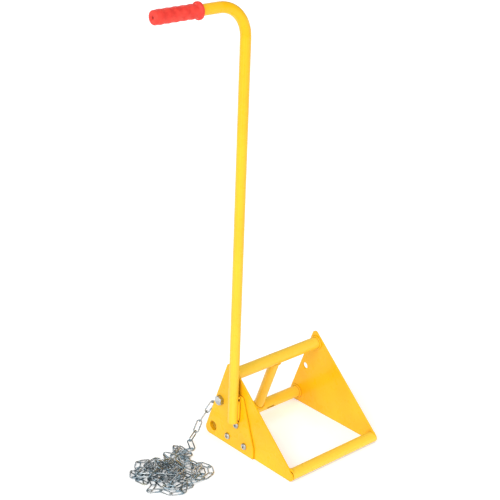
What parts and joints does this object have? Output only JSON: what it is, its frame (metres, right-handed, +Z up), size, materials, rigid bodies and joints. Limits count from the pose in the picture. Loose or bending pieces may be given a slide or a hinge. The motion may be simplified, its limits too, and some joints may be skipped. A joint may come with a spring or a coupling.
{
  "type": "wheel chock",
  "caption": "Steel wheel chock with two triangular side plates, cross tubes, a tall bent carrying handle with a ribbed grip, and a loose chain bolted to one plate.",
  "frame": {"origin": "on the floor, at the middle of the overall box without the heaped chain, within 3 mm", "axes": "+Z up, +X along the cross tubes from the handle side to the far plate, -Y towards the sloped wheel face"},
  "size_m": [0.5999, 0.3366, 1.172],
  "materials": {
    "yellow_plates": "gloss",
    "yellow_tubes": "gloss",
    "grip_rubber": "satin",
    "zinc_hardware": "satin",
    "zinc_chain": "satin"
  },
  "bodies": {
    "frame": {"near_side_plate": "yellow_plates", "far_side_plate": "yellow_plates", "handle_plate": "yellow_plates", "top_tube": "yellow_tubes", "rear_tube": "yellow_tubes", "toe_tube": "yellow_tubes", "strut": "yellow_tubes", "handle_tube": "yellow_tubes", "grip": "grip_rubber", "chain_bolt": "zinc_hardware", "chain_bolt_washers": "zinc_hardware", "chain_nut": "zinc_hardware", "handle_bolts": "zinc_hardware", "handle_washers": "zinc_hardware", "handle_nuts": "zinc_hardware", "chain_pile": "zinc_chain"},
    "end_link": {"chain_end_link": "zinc_chain"},
    "link_1": {"chain_link_1": "zinc_chain"},
    "link_2": {"chain_link_2": "zinc_chain"},
    "link_3": {"chain_link_3": "zinc_chain"},
    "link_4": {"chain_link_4": "zinc_chain"},
    "link_5": {"chain_link_5": "zinc_chain"}
  },
  "joints": [
    {"name": "chain_swing", "type": "hinge", "parent": "frame", "child": "end_link", "pos_m": [-0.0015, 0.10502, 0.119], "axis": [1, 0, 0], "range_deg": [0, 14]},
    {"name": "link_1_turn", "type": "hinge", "parent": "end_link", "child": "link_1", "pos_m": [-0.0015, 0.13098, 0.10089], "axis": [1, 0, 0], "range_deg": [-23, 0.5]},
    {"name": "link_2_turn", "type": "hinge", "parent": "link_1", "child": "link_2", "pos_m": [-0.00735, 0.15434, 0.08455], "axis": [1, 0, 0], "range_deg": [-1.9, 0.5]},
    {"name": "link_3_turn", "type": "hinge", "parent": "link_2", "child": "link_3", "pos_m": [-0.0262, 0.15848, 0.06211], "axis": [1, 0, 0], "range_deg": [-0.5, 6.2]},
    {"name": "link_4_turn", "type": "hinge", "parent": "link_3", "child": "link_4", "pos_m": [-0.04884, 0.15752, 0.04222], "axis": [1, 0, 0], "range_deg": [-0.5, 8.8]},
    {"name": "link_5_turn", "type": "hinge", "parent": "link_4", "child": "link_5", "pos_m": [-0.06944, 0.14961, 0.02146], "axis": [1, 0, 0], "range_deg": [-0.5, 6.2]}
  ],
  "couplings": [
    {"joint": "link_1_turn", "follows": "chain_swing", "ratio": -1.6057},
    {"joint": "link_2_turn", "follows": "chain_swing", "ratio": -0.1012},
    {"joint": "link_3_turn", "follows": "chain_swing", "ratio": 0.4058},
    {"joint": "link_4_turn", "follows": "chain_swing", "ratio": 0.5964},
    {"joint": "link_5_turn", "follows": "chain_swing", "ratio": 0.4101}
  ]
}
